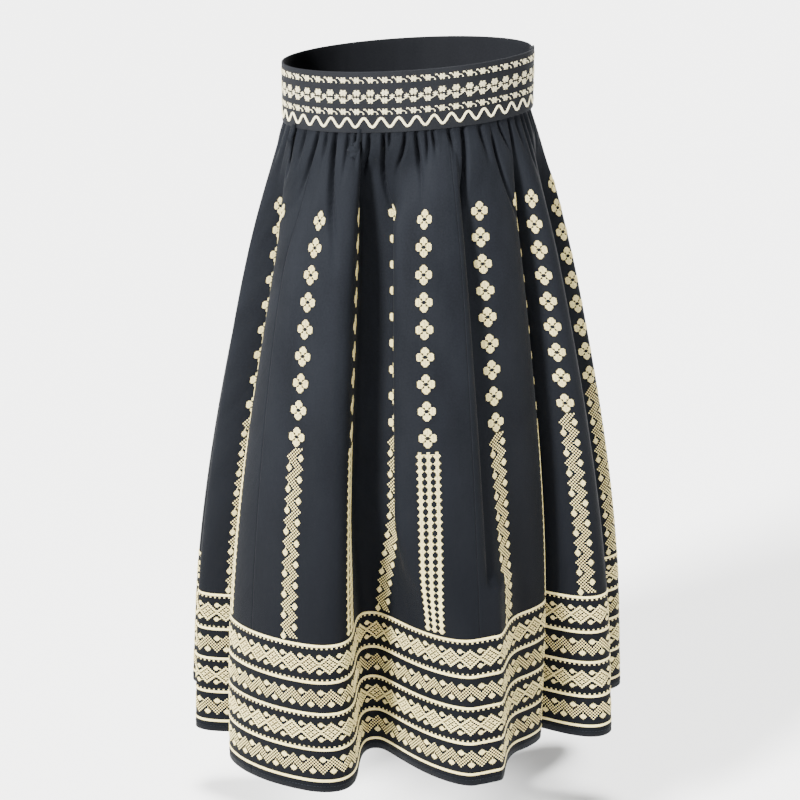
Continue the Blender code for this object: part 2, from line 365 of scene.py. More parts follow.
# Room: a square floor, pushed back, and lights that each shine from a direction, softness in degrees
FLOOR_DROP = 1.0
FLOOR_BACK = 4.0
FLOOR_REACH = 60.0
ROOM_LIGHT = 0.03
LIGHTS = (
    # name, toward, softness, power
    ("key light", (-0.95, -0.95, 0.85), 12.0, 13.0),
    ("top light", (0.0, 0.0, 1.0), 12.0, 9.0),
    ("back light", (0.5, 1.0, 0.6), 20.0, 3.0),
)


def ease(x):
    """0 to 1 with level ends."""
    x = np.clip(x, 0, 1)
    return x * x * (3 - 2 * x)


def through(x, knots, values):
    """The smooth curve through a table's values."""
    slopes = np.gradient(values, knots)
    i = np.clip(np.searchsorted(knots, x, side="right") - 1, 0, len(knots) - 2)
    width = knots[i + 1] - knots[i]
    t = (x - knots[i]) / width
    first, last, slope_first, slope_last = cubic(t)
    return (
        first * values[i]
        + last * values[i + 1]
        + width * (slope_first * slopes[i] + slope_last * slopes[i + 1])
    )


def cubic(t):
    """Weights of the two ends and the two end slopes of a cubic."""
    last = 3 * t**2 - 2 * t**3
    return 1 - last, last, t**3 - 2 * t**2 + t, t**3 - t**2


def ring(drops):
    """Half width and half depth through the crests."""
    table = np.array(RINGS)
    return through(drops, table[:, 0], table[:, 1]), through(drops, table[:, 0], table[:, 2])


def heights(drops):
    """Z on the front and back middle: the cloth falls less where the ring widens."""
    fine = np.linspace(0, CUT_LENGTH, FALL_SAMPLES)
    flare = np.gradient(np.mean(ring(fine), axis=0), fine)
    fall = np.sqrt(1 - flare**2)
    down = np.concatenate([[0], np.cumsum((fall[1:] + fall[:-1]) / 2 * np.diff(fine))])
    return -BAND_HEIGHT / 2 - SEAM_GAP - np.interp(drops, fine, down)


def tilt(drops):
    """Rise toward +X."""
    return TILT_AT_WAIST + (TILT_AT_HEM - TILT_AT_WAIST) * drops / CUT_LENGTH


def pitch(drops):
    """Width of a column."""
    return PITCH_AT_WAIST + (PITCH_AT_HEM - PITCH_AT_WAIST) * drops / CUT_LENGTH


def fold_plan(drops, depth):
    """Plan points of each fold, crest to next crest, for a depth of each fold at each drop."""
    folds = np.array(FOLDS).T[1:-1]
    crest, valley, turn, reach, crest_near, crest_far, valley_near, valley_far, lap = folds
    share = drops[:, None] / CUT_LENGTH
    crest = crest + turn * (1 - share)
    valley = valley + turn * (1 - share)
    next_crest = np.roll(crest, -1, axis=1)
    next_crest[:, -1] += 360
    lapping = ease((drops - LAP_STARTS) / (LAP_FULL - LAP_STARTS))
    lapping *= 1 - ease((drops - LAP_FADES) / (LAP_ENDS - LAP_FADES))
    lap = lapping[:, None] * np.roll(lap, -1)
    weights = cubic(np.linspace(0, 1, FOLD_SAMPLES, endpoint=False))

    def run(start, end, slope_start, slope_end):
        ends = (start, end, slope_start, slope_end)
        return sum(value[..., None] * weight for value, weight in zip(ends, weights))

    inward = valley - crest
    outward = next_crest - valley
    level = np.zeros_like(inward)
    leaving_valley = (valley_far + LAP_IN_VALLEY * lap) * outward
    reaching_crest = (np.roll(crest_near, -1) + lap) * outward
    falling = run(crest, valley, crest_far * inward, valley_near * inward)
    rising = run(valley, next_crest, leaving_valley, reaching_crest)
    angle = np.concatenate([falling, rising], axis=-1)
    out = reach * share
    next_out = np.roll(reach, -1) * share
    floor = out - depth
    offset = np.concatenate([run(out, floor, level, level), run(floor, next_out, level, level)], axis=-1)
    half_width, half_depth = (half[:, None, None] for half in ring(drops))
    return beside_ring(np.radians(angle), offset, half_width, half_depth)


def beside_ring(angle, offset, half_width, half_depth):
    """Plan point at an angle on a ring, moved square to it."""
    across, along = np.sin(angle), -np.cos(angle)
    square = np.hypot(across / half_width, along / half_depth)
    x = half_width * across + offset * across / half_width / square
    y = half_depth * along + offset * along / half_depth / square
    return x, y


def steps(x, y):
    """Lengths from each point of a closed ring of folds to the next."""
    rings = [plan.reshape(len(plan), -1) for plan in (x, y)]
    step = np.hypot(*(np.roll(plan, -1, axis=1) - plan for plan in rings))
    return step.reshape(x.shape)


def sections(drops):
    """Plan points and columns of the cloth's ring at each drop; the last point closes it."""
    table = np.array(FOLDS)
    column, opens = table[:, 0], table[:, -1]
    span = np.roll(column, -1) - column
    span[-1] += ROUND
    cloth = span * pitch(drops)[:, None]
    shallow = np.zeros_like(cloth)
    deep = shallow + DEEPEST_FOLD
    for _ in range(HALVINGS):
        middle = (shallow + deep) / 2
        short = steps(*fold_plan(drops, middle)).sum(axis=-1) < cloth
        shallow = np.where(short, middle, shallow)
        deep = np.where(short, deep, middle)
    reach = table[:, 4] * drops[:, None] / CUT_LENGTH
    room = BODY_ROOM_AT_WAIST + BODY_ROOM_SLOPE * drops[:, None] + reach
    depth = shallow * room / (shallow**4 + room**4) ** 0.25 * ease(drops[:, None] / opens)
    x, y = fold_plan(drops, depth)
    step = steps(x, y)
    along = (np.cumsum(step, axis=-1) - step) / step.sum(axis=-1, keepdims=True)
    columns = column[:, None] + span[:, None] * along
    x, y, columns = (values.reshape(len(drops), -1) for values in (x, y, columns))
    return np.hstack([x, x[:, :1]]), np.hstack([y, y[:, :1]]), np.hstack([columns, columns[:, :1] + ROUND])


def all_gathers():
    """The front's gathers and the run that goes round the sides and back."""
    rows = []
    for place, foot, length, depth, half_width, head in GATHERS:
        if half_width < BROAD_GATHER:
            length *= GATHER_LONGER
            depth *= GATHER_DEEPER
            half_width *= GATHER_NARROWER
        rows.append((place, foot, length, depth, half_width, head))
    place, lean_side, turn = SIDE_FROM, 1, 0
    while place < SIDE_TO:
        run = SIDE_RUN if turn % 2 == 0 else SIDE_RUN[::-1]
        for step, lean, length, depth, half_width in run:
            if place < SIDE_TO:
                rows.append((place, place + lean_side * lean, length, depth, half_width, SIDE_HEAD))
            place += step
        lean_side, turn = -lean_side, turn + 1
    return rows


def gather_depth(columns, drops):
    """How far the gathers push the cloth in."""
    depth = np.zeros((len(drops), len(columns)))
    for column, foot, length, deepest, half_width, head in all_gathers():
        path = column + (foot - column) * ease(drops / length)
        at_seam = SEAM_SHARE if head < SOFT_HEAD else 0
        strength = at_seam + (1 - at_seam) * ease(drops / head)
        strength *= 1 - ease((drops / length - FADE_FROM) / (1 - FADE_FROM))
        away = (columns[None, :] - path[:, None] + ROUND / 2) % ROUND - ROUND / 2
        depth += deepest * strength[:, None] * np.exp(-((away / half_width) ** 2))
    return depth


def outward(x, y):
    """Plan directions square to closed rings, facing out."""
    run_x, run_y = (np.roll(plan, -1, axis=1) - np.roll(plan, 1, axis=1) for plan in (x, y))
    length = np.hypot(run_x, run_y)
    return run_y / length, -run_x / length


def drape(drops, columns):
    """Outer points of the cloth: an array by drop, column and axis. Columns cover one round."""
    ring_x, ring_y, ring_columns = sections(drops)
    wrapped = (columns - ring_columns[:, :1]) % ROUND + ring_columns[:, :1]
    x = np.array([np.interp(*row) for row in zip(wrapped, ring_columns, ring_x)])
    y = np.array([np.interp(*row) for row in zip(wrapped, ring_columns, ring_y)])
    out_x, out_y = outward(x, y)
    push = gather_depth(columns, drops)
    x, y = x - push * out_x, y - push * out_y
    z = heights(drops)[:, None] + tilt(drops)[:, None] * x
    return np.stack([x, y, z], axis=-1)


class Cloth:
    """The whole skirt's draped surface, on rows of drops and columns all round."""

    def __init__(self):
        self.drops = CUT_LENGTH * np.linspace(0, 1, CLOTH_ROWS + 1) ** ROW_CROWDING
        even = np.arange(CLOTH_COLUMNS + 1)
        share = np.sort(np.append(even, (SEAM_COLUMN, CLOTH_COLUMNS - SEAM_COLUMN))) / CLOTH_COLUMNS
        self.across = len(share) - 1
        gores = FIRST_SEAM + GORE_SPAN * (np.arange(len(GORES))[:, None] + share[None, :-1])
        self.columns = gores.ravel()
        points = drape(self.drops, self.columns)
        outward_way = self.square(points)
        seams = np.arange(len(GORES)) * self.across
        points[:, seams] -= SEAM_GROOVE * outward_way[:, seams]
        self.points = self.closed(points)
        self.out = self.closed(self.square(points))
        self.columns = np.append(self.columns, self.columns[0] + ROUND)

    @staticmethod
    def square(points):
        """Directions out of the cloth."""
        along = np.roll(points, -1, axis=1) - np.roll(points, 1, axis=1)
        up = -np.gradient(points, axis=0)
        out = np.cross(along, up)
        return out / np.linalg.norm(out, axis=-1, keepdims=True)

    @staticmethod
    def closed(grid):
        """The first column again at the end."""
        return np.concatenate([grid, grid[:, :1]], axis=1)

    def at(self, columns, drops, lifts):
        """Points on the cloth, lifted off it."""
        wrapped = (columns - FIRST_SEAM) % ROUND + FIRST_SEAM
        i = np.interp(wrapped, self.columns, np.arange(len(self.columns)))
        j = np.interp(drops, self.drops, np.arange(len(self.drops)))
        left = np.minimum(i.astype(int), len(self.columns) - 2)
        above = np.minimum(j.astype(int), len(self.drops) - 2)
        i, j = (i - left)[:, None], (j - above)[:, None]
        mixed = []
        for grid in (self.points, self.out):
            top = grid[above, left] * (1 - i) + grid[above, left + 1] * i
            low = grid[above + 1, left] * (1 - i) + grid[above + 1, left + 1] * i
            mixed.append(top * (1 - j) + low * j)
        points, out = mixed
        out /= np.linalg.norm(out, axis=-1, keepdims=True)
        return points + out * lifts[:, None]


class Strip:
    """The waistband's middle surface: along from where its end laps, and up from its lower edge."""

    def __init__(self):
        self.half_width, self.half_depth = (float(half[0]) for half in ring(np.array([0.0])))
        self.angles = np.linspace(0, 2 * math.pi, RING_SAMPLES)
        across = self.half_width * np.diff(np.sin(self.angles))
        deep = self.half_depth * np.diff(np.cos(self.angles))
        self.arcs = np.concatenate([[0], np.cumsum(np.hypot(across, deep))])
        self.around = self.arcs[-1]
        self.start = np.interp(math.radians(LAP_ANGLE), self.angles, self.arcs)
        self.length = self.around + BAND_LAP

    def at(self, along, up, lifts):
        """Points beside the strip, lifted off its middle."""
        angle = np.interp((self.start + along) % self.around, self.arcs, self.angles)
        rising = (along - self.around + 2 * BAND_LAP) / (2 * BAND_LAP - LAP_CLEAR)
        offset = lifts + (BAND_THICKNESS + SEAM_GAP) * ease(rising)
        x, y = beside_ring(angle, offset, self.half_width, self.half_depth)
        return np.stack([x, y, up - BAND_HEIGHT / 2 + TILT_AT_WAIST * x], axis=-1)


def value(node, name, number):
    node.inputs[name].default_value = number


def effect_group(name, inputs, outputs):
    """An empty shader node group with its sockets."""
    group = bpy.data.node_groups.new(name, "ShaderNodeTree")
    for socket, kind in inputs:
        group.interface.new_socket(socket, in_out="INPUT", socket_type=kind)
    for socket, kind in outputs:
        group.interface.new_socket(socket, in_out="OUTPUT", socket_type=kind)
    return group, group.nodes.new("NodeGroupInput"), group.nodes.new("NodeGroupOutput")


def ramp(tree, source, low, high):
    """Stretches a value from low..high to 0..1."""
    node = tree.nodes.new("ShaderNodeMapRange")
    node.interpolation_type = "SMOOTHSTEP"
    tree.links.new(source, node.inputs["Value"])
    value(node, "From Min", low)
    value(node, "From Max", high)
    return node.outputs["Result"]


def maths(tree, kind, first, second):
    """A Math node on a socket and a socket or number."""
    node = tree.nodes.new("ShaderNodeMath")
    node.operation = kind
    tree.links.new(first, node.inputs[0])
    if isinstance(second, (int, float)):
        node.inputs[1].default_value = second
    else:
        tree.links.new(second, node.inputs[1])
    return node.outputs[0]


def stretched_noise(tree, source, scale, stretch, detail):
    """Noise on the cloth's own coordinates, longer along the drop than across."""
    mapping = tree.nodes.new("ShaderNodeMapping")
    value(mapping, "Scale", (stretch, 1.0, 1.0))
    tree.links.new(source, mapping.inputs["Vector"])
    noise = tree.nodes.new("ShaderNodeTexNoise")
    value(noise, "Scale", scale)
    value(noise, "Detail", detail)
    tree.links.new(mapping.outputs["Vector"], noise.inputs["Vector"])
    return noise.outputs["Fac"]


def threads(tree, source, direction, pitch_of_thread):
    """Parallel rounded threads across a direction."""
    wave = tree.nodes.new("ShaderNodeTexWave")
    wave.wave_type = "BANDS"
    wave.bands_direction = direction
    wave.wave_profile = "SIN"
    value(wave, "Scale", math.pi / 10 / pitch_of_thread)
    value(wave, "Distortion", 0.6)
    value(wave, "Detail", 1.0)
    value(wave, "Detail Scale", 1.5)
    tree.links.new(source, wave.inputs["Vector"])
    return wave.outputs["Fac"]


def weave_group():
    """Plain-woven cotton on its own coordinates in metres: thread height, soft rumple, and worn patches
    that fade out toward the hem as painted light, so the cloth is lighter near the waist.
    """
    group, given, made = effect_group(
        "woven cotton",
        [("Coordinates", "NodeSocketVector")],
        [("Height", "NodeSocketFloat"), ("Worn and top light", "NodeSocketFloat")],
    )
    source = given.outputs["Coordinates"]
    warp = threads(group, source, "X", WARP_PITCH)
    weft = threads(group, source, "Y", WEFT_PITCH)
    weave = maths(group, "MULTIPLY", maths(group, "MAXIMUM", warp, weft), WEAVE_HEIGHT)
    rumple = maths(group, "MULTIPLY", stretched_noise(group, source, 14.0, 2.6, 3.0), RUMPLE_HEIGHT)
    group.links.new(maths(group, "ADD", weave, rumple), made.inputs["Height"])
    fine = maths(group, "MULTIPLY", stretched_noise(group, source, 420.0, 1.0, 2.0), 0.45)
    patches = maths(group, "MULTIPLY", stretched_noise(group, source, 9.0, 2.0, 4.0), 0.8)
    place = group.nodes.new("ShaderNodeSeparateXYZ")
    group.links.new(source, place.inputs["Vector"])
    # painted light: the worn patches fade out with the drop, lighter cloth near the waist and darker toward
    # the hem
    painted_top_light = ramp(group, place.outputs["Y"], PAINTED_LIGHT_TO, PAINTED_LIGHT_FROM)
    worn = ramp(group, maths(group, "ADD", fine, patches), 0.20, 0.90)
    group.links.new(maths(group, "MULTIPLY", worn, painted_top_light), made.inputs["Worn and top light"])
    return group


def stitch_group():
    """Satin stitches on the cloth's own coordinates: height of the lying threads and their tone."""
    group, given, made = effect_group(
        "satin stitches",
        [("Coordinates", "NodeSocketVector")],
        [("Height", "NodeSocketFloat"), ("Tone", "NodeSocketFloat")],
    )
    source = given.outputs["Coordinates"]
    lying = threads(group, source, "Y", SATIN_PITCH)
    group.links.new(maths(group, "MULTIPLY", lying, SATIN_HEIGHT), made.inputs["Height"])
    speck = maths(group, "MULTIPLY", stretched_noise(group, source, 700.0, 0.4, 2.0), 0.6)
    broad = maths(group, "MULTIPLY", stretched_noise(group, source, 22.0, 1.0, 2.0), 0.5)
    shade = maths(group, "MULTIPLY", lying, 0.25)
    tone = maths(group, "ADD", maths(group, "ADD", speck, broad), shade)
    group.links.new(ramp(group, tone, 0.35, 0.95), made.inputs["Tone"])
    return group


def surfaced(name, group, mask, colours, finish):
    """A cloth or thread material: an effect group mixes its two colours and drives its bump."""
    low, high = colours
    roughness, specular, sheen, bump_strength = finish
    material = bpy.data.materials.new(name)
    material.use_nodes = True
    tree = material.node_tree
    shader = tree.nodes["Principled BSDF"]
    coordinates = tree.nodes.new("ShaderNodeUVMap")
    coordinates.uv_map = "cloth"
    effect = tree.nodes.new("ShaderNodeGroup")
    effect.node_tree = group
    tree.links.new(coordinates.outputs["UV"], effect.inputs["Coordinates"])
    mix = tree.nodes.new("ShaderNodeMix")
    mix.data_type = "RGBA"
    colour_in = [socket for socket in mix.inputs if socket.type == "RGBA"]
    colour_in[0].default_value = low
    colour_in[1].default_value = high
    tree.links.new(effect.outputs[mask], mix.inputs["Factor"])
    colour_out = next(socket for socket in mix.outputs if socket.type == "RGBA")
    tree.links.new(colour_out, shader.inputs["Base Color"])
    bump = tree.nodes.new("ShaderNodeBump")
    value(bump, "Strength", bump_strength)
    value(bump, "Distance", 1.0)
    tree.links.new(effect.outputs["Height"], bump.inputs["Height"])
    tree.links.new(bump.outputs["Normal"], shader.inputs["Normal"])
    value(shader, "Roughness", roughness)
    value(shader, "Sheen Weight", sheen)
    value(shader, "Sheen Roughness", 0.4)
    value(shader, "Specular IOR Level", specular)
    material.diffuse_color = low
    return material


def finished(name, mesh_data, material):
    """A new piece that rides on the skirt's one body."""
    mesh_data.materials.append(material)
    piece = bpy.data.objects.new(name, mesh_data)
    bpy.context.scene.collection.objects.link(piece)
    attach(piece, "root")
    return piece


def flat_grid(name, across, down):
    """A flat sheet of quads, and each vertex's place in it counted from the left and from the top."""
    sheet = bmesh.new()
    bmesh.ops.create_grid(sheet, x_segments=across, y_segments=down, size=0.5)
    data = bpy.data.meshes.new(name)
    sheet.to_mesh(data)
    sheet.free()
    places = corners(data)
    i = np.rint((places[:, 0] + 0.5) * across).astype(int)
    j = np.rint((0.5 - places[:, 1]) * down).astype(int)
    return data, i, j


def corners(data):
    """A mesh's vertices as rows of x, y, z."""
    places = np.empty(len(data.vertices) * 3)
    data.vertices.foreach_get("co", places)
    return places.reshape(-1, 3)


def place_corners(data, points, across, down):
    """Moves a mesh's vertices, and gives it the cloth's own coordinates in metres."""
    data.vertices.foreach_set("co", np.ascontiguousarray(points, dtype=np.float32).ravel())
    layer = data.uv_layers.new(name="cloth")
    corner = np.empty(len(data.loops), dtype=int)
    data.loops.foreach_get("vertex_index", corner)
    layer.data.foreach_set("uv", np.stack([across, -down], axis=-1)[corner].astype(np.float32).ravel())
    data.update()


def make_gore(number, cloth, material):
    """One gore: its stretch of the draped cloth, and a few millimetres tucked up into the waistband."""
    name = GORES[number]
    rows = len(cloth.drops)
    data, i, j = flat_grid("cloth_" + name, cloth.across, rows)
    picked = number * cloth.across + i
    row = np.maximum(j - 1, 0)
    points = cloth.points[row, picked].copy()
    columns = cloth.columns[picked]
    drops = cloth.drops[row]
    tucked = j == 0
    points[tucked, 2] += TUCKED_IN
    drops[tucked] -= TUCKED_IN
    place_corners(data, points, columns * pitch(drops), drops)
    data.shade_smooth()
    piece = finished("cloth_" + name, data, material)
    shell = piece.modifiers.new("cloth", "SOLIDIFY")
    shell.thickness = CLOTH_THICKNESS
    shell.offset = -1
    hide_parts(name)
    return piece


def make_waistband(strip, material):
    """The doubled strip: a long shell with round turned edges, closed at both ends."""
    half = BAND_THICKNESS / 2
    turn = BAND_TURN
    up = np.linspace(turn, BAND_HEIGHT - turn, BAND_ROWS)
    bends = np.radians((15, 40, 65, 90))
    top = []
    for bend in bends:
        top.append((half - turn * (1 - math.cos(bend)), BAND_HEIGHT - turn * (1 - math.sin(bend))))
    outer = [(half, height) for height in up] + top
    inner = [(-lift, height) for lift, height in reversed(outer)]
    under = [(-lift, BAND_HEIGHT - height) for lift, height in top]
    over = [(-lift, height) for lift, height in reversed(under)]
    section = np.array(outer + inner + under + over + outer[:1])
    data, i, j = flat_grid("cloth_waistband", BAND_STATIONS, len(section) - 1)
    along = strip.length * i / BAND_STATIONS
    lift, height = section[len(section) - 1 - j].T
    points = strip.at(along, height, lift)
    place_corners(data, points, along, -height)
    shell = bmesh.new()
    shell.from_mesh(data)
    bmesh.ops.remove_doubles(shell, verts=shell.verts, dist=0.00002)
    bmesh.ops.holes_fill(shell, edges=[edge for edge in shell.edges if edge.is_boundary], sides=0)
    bmesh.ops.recalc_face_normals(shell, faces=shell.faces)
    shell.to_mesh(data)
    shell.free()
    data.shade_smooth()
    piece = finished("cloth_waistband", data, material)
    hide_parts("waistband")
    return piece


def add_stitch(motif, x, y, width, height):
    """One satin stitch: a low block, broader at its foot."""
    tall = STITCH_LIFT + STITCH_SINK
    place = Matrix.Translation((x, y, tall / 2 - STITCH_SINK)) @ Matrix.Diagonal((width, height, tall, 1))
    block = bmesh.ops.create_cube(motif, size=1, matrix=place)["verts"]
    for corner in block:
        side = STITCH_CROWN if corner.co.z > 0 else STITCH_FOOT
        spare = (1 - side) * min(width, height) / 2
        corner.co.x -= math.copysign(spare, corner.co.x - x)
        corner.co.y -= math.copysign(spare, corner.co.y - y)


def add_chart(motif, chart, cell, middle=(0.0, 0.0)):
    """Works a chart: each run of marks in a row is one stitch, or a few where it is long."""
    wide, high = cell
    for row, marks in enumerate(chart):
        y = middle[1] + (len(chart) / 2 - row - 0.5) * high
        for run in re.finditer("#+", marks):
            left = (run.start() - len(marks) / 2) * wide
            length = (run.end() - run.start()) * wide
            parts = math.ceil(length / LONGEST_STITCH)
            for part in range(parts):
                x = middle[0] + left + (part + 0.5) * length / parts
                add_stitch(motif, x, y, length / parts, high)


def add_thread(motif, route, width, lift=STITCH_LIFT):
    """A thread couched down along a route of points, round across."""
    route = np.array(route, dtype=float)
    way = np.gradient(route, axis=0)
    way /= np.linalg.norm(way, axis=1, keepdims=True)
    sides = (
        # share of the width, height
        (-0.5, -STITCH_SINK),
        (-0.36, 0.75 * lift),
        (0.0, lift),
        (0.36, 0.75 * lift),
        (0.5, -STITCH_SINK),
    )
    count = len(route) - 1
    strand = bmesh.ops.create_grid(motif, x_segments=count, y_segments=len(sides) - 1, size=0.5)["verts"]
    for corner in strand:
        station = round((corner.co.x + 0.5) * count)
        side, height = sides[round((corner.co.y + 0.5) * (len(sides) - 1))]
        x, y = route[station]
        way_x, way_y = way[station]
        corner.co = (x - way_y * side * width, y + way_x * side * width, height)


def curve_through(points, count):
    """Points along the smooth curve through a few."""
    points = np.array(points, dtype=float)
    knots = np.arange(len(points))
    fine = np.linspace(0, len(points) - 1, count)
    return np.stack([through(fine, knots, points[:, axis]) for axis in (0, 1)], axis=-1)


def motif_of(name, work):
    """A motif's mesh, worked flat: x along the cloth, y up it and z out."""
    motif = bmesh.new()
    work(motif)
    data = bpy.data.meshes.new(name)
    motif.to_mesh(data)
    motif.free()
    return data


def flower(motif):
    add_chart(motif, FLOWER, FLOWER_CELL)


def lattice(motif):
    """Three threaded strings of rosettes, joined along the top."""
    for row in range(LATTICE_ROWS):
        for string in (-1, 0, 1):
            middle = (string * LATTICE_ACROSS, -row * LATTICE_PITCH)
            add_chart(motif, ROSETTE, ROSETTE_CELL, middle)
    for left in (-1, 0):
        arc = []
        for share in (0.3, 0.5, 0.7):
            arc.append(((left + share) * LATTICE_ACROSS, LATTICE_ARC_RISE * math.sin(math.pi * share)))
        add_thread(motif, curve_through(arc, 5), THREAD_WIDTH)


def zigzag_height(unit):
    """A net's own middle line: up six units and down six."""
    return abs((unit + 6) % 12 - 6) - 3


def add_net(motif, units, unit):
    """A zigzag of small squares, three stitches thick, that touch at their corners."""
    for i in range(units):
        for step in (-2, 0, 2):
            x = (i + 0.5 - units / 2) * unit
            y = (zigzag_height(i) + step) * unit
            add_stitch(motif, x, y, unit, unit)


def border_zigzag(motif):
    """One repeat of the border's zigzag, from valley to valley, with a bud and its stem in each bay."""
    unit = BORDER_UNIT
    add_net(motif, 12, unit)
    high = 3.6 * unit
    low = -high
    under_peak, over_valley = 0.5 * unit, -5.5 * unit
    upright_stem = ((0.0, 0.0038), (0.0, 0.0048), (0.0, 0.0058))
    side_stem = ((0.0042, 0.0004), (0.0056, -0.0003), (0.0070, -0.0012))
    for x, y, stem in ((under_peak, low, upright_stem), (over_valley, high, side_stem)):
        add_chart(motif, BUD, BUD_CELL, (x, y))
        add_thread(motif, [(x + across, y + rise) for across, rise in stem], THREAD_WIDTH)


def upright_zigzag(motif):
    """The border's zigzag turned to run down a column."""
    repeat = bpy.data.meshes.new("upright repeat")
    worked = bmesh.new()
    border_zigzag(worked)
    worked.to_mesh(repeat)
    worked.free()
    length = 12 * ZIGZAG_UNIT
    stretch = ZIGZAG_UNIT / BORDER_UNIT
    for number in range(ZIGZAG_REPEATS):
        before = len(motif.verts)
        motif.from_mesh(repeat)
        motif.verts.ensure_lookup_table()
        new = motif.verts[before:]
        turn = Matrix.Rotation(math.radians(90), 4, "Z") @ Matrix.Diagonal((stretch, 1, 1, 1))
        move = Matrix.Translation((0, -(number + 0.5) * length, 0))
        bmesh.ops.transform(motif, matrix=move @ turn, verts=new)
    bpy.data.meshes.remove(repeat)


def border_diamond(motif):
    """One repeat of the border's diamonds, with a small bud above and below where two diamonds meet."""
    add_chart(motif, DIAMOND, DIAMOND_CELL)
    beside = -BORDER_PITCH / 2
    high = SMALL_BUD_RISE
    stem = ((0.0034, 0.0), (0.0048, -0.0004), (0.0062, -0.0016))
    add_chart(motif, SMALL_BUD, SMALL_BUD_CELL, (beside, high))
    add_chart(motif, SMALL_BUD, SMALL_BUD_CELL, (beside, -high))
    for side in (1, -1):
        route = [(beside + across, side * (high + rise)) for across, rise in stem]
        add_thread(motif, route, THREAD_WIDTH)


def tooth(motif):
    add_stitch(motif, 0, 0, TOOTH, TOOTH)


def hem_stitch(motif):
    add_stitch(motif, 0, 0, *HEM_STITCH)


def band_flower(motif):
    """A small flower of a hook row, with the hooks that lead to the next."""
    add_chart(motif, BAND_FLOWER, BAND_FLOWER_CELL)
    for x, y in ((0.0083, -0.0027), (0.0091, 0.0026)):
        add_stitch(motif, x, y, HOOK_DOT, HOOK_DOT)
    lower = [(0.0040, 0.0), (0.0064, -0.0002), (0.0076, -0.0012), (0.0083, -0.0024)]
    upper = [(0.0091, 0.0026), (0.0101, 0.0032), (0.0112, 0.0022), (0.0127, 0.0002)]
    for route in (lower, upper):
        add_thread(motif, curve_through(route, 9), HOOK_WIDTH)


def twin_flowers(motif):
    """Two flowers one above the other, and the sprig that links them to the next pair."""
    add_chart(motif, BAND_FLOWER, UPPER_TWIN_CELL)
    down = TWIN_LOW - TWIN_HIGH
    add_chart(motif, BAND_FLOWER, BAND_FLOWER_CELL, (0, down))
    link = (BAND_PITCH / 2 + 0.0003, TWIN_LINK - TWIN_HIGH)
    add_chart(motif, BAND_SPRIG, BAND_SPRIG_CELL, link)
    right = [
        (0.0036, down - 0.0004),
        (0.0058, down + 0.0004),
        (0.0076, down + 0.0018),
        (0.0085, down + 0.0034),
    ]
    left = [
        (0.0112, link[1] - 0.0010),
        (0.0124, down + 0.0022),
        (0.0131, down + 0.0004),
        (0.0134, down - 0.0004),
    ]
    for route in (right, left):
        add_thread(motif, curve_through(route, 9), HOOK_WIDTH)


def gather_motifs(name, placed, place, measure):
    """Joins flat motifs, each at its own place, and drapes them all over a surface."""
    shape = bmesh.new()
    across, down, lifts = [], [], []
    for data, along, drop, per_metre in placed:
        shape.from_mesh(data)
        spots = corners(data)
        drops = drop - spots[:, 1]
        across.append(along + spots[:, 0] * (per_metre or 1 / measure(drops)))
        down.append(drops)
        lifts.append(spots[:, 2])
    joined = bpy.data.meshes.new(name)
    shape.to_mesh(joined)
    shape.free()
    across, down, lifts = (np.concatenate(values) for values in (across, down, lifts))
    place_corners(joined, place(across, down, lifts), across * measure(down), down)
    return joined


def line_motif(name, width):
    """A straight couched line one repeat long."""
    half = BORDER_PITCH / 2
    route = [(x, 0) for x in np.linspace(-half, half, LINE_STATIONS)]
    return motif_of(name, lambda motif: add_thread(motif, route, width, LINE_LIFT))


def gore_places(number, motifs):
    """Where each motif goes on a gore: its mesh, column and drop, and columns to the metre if fixed."""
    seam = FIRST_SEAM + number * GORE_SPAN
    placed = []
    for column in range(GORE_COLUMNS):
        middle = seam + SEAM_MARGIN + 0.5 + column
        for flower_number in range(FLOWERS):
            placed.append((motifs["flower"], middle, FIRST_FLOWER + flower_number * FLOWER_PITCH, None))
        if column % 2:
            placed.append((motifs["lattice"], middle, LATTICE_FROM, None))
        else:
            placed.append((motifs["upright"], middle, ZIGZAG_FROM, None))
    repeat = GORE_SPAN / BORDER_REPEATS
    fixed = repeat / BORDER_PITCH
    for kind, drop, teeth in BORDER:
        for place in range(BORDER_REPEATS):
            middle = seam + (place + 0.5) * repeat
            placed.append((motifs[kind], middle, drop, fixed))
            for number_of_tooth in range(TEETH_PER_REPEAT if teeth else 0):
                across = middle + ((number_of_tooth + 0.5) / TEETH_PER_REPEAT - 0.5) * repeat
                placed.append((motifs["tooth"], across, drop - teeth * (LINE_WIDTH + TOOTH) / 2, None))
    return placed


def embroider_gores(cloth, motifs, thread):
    """The flowers, columns and border of every gore, one piece a gore."""
    pieces = []
    for number, name in enumerate(GORES):
        data = gather_motifs("embroidery_" + name, gore_places(number, motifs), cloth.at, pitch)
        pieces.append(finished("embroidery_" + name, data, thread))
    return pieces


def sew_hems(cloth, motifs, thread):
    """A row of small running stitches that holds each gore's turned hem."""
    pieces = []
    for number, name in enumerate(GORES):
        seam = FIRST_SEAM + number * GORE_SPAN
        count = round(GORE_SPAN * float(pitch(HEM_STITCH_DROP)) / HEM_STITCH_PITCH)
        places = [seam + (stitch + 0.5) * GORE_SPAN / count for stitch in range(count)]
        placed = [(motifs["hem_stitch"], column, HEM_STITCH_DROP, None) for column in places]
        data = gather_motifs("hem_stitches_" + name, placed, cloth.at, pitch)
        pieces.append(finished("hem_stitches_" + name, data, thread))
    return pieces


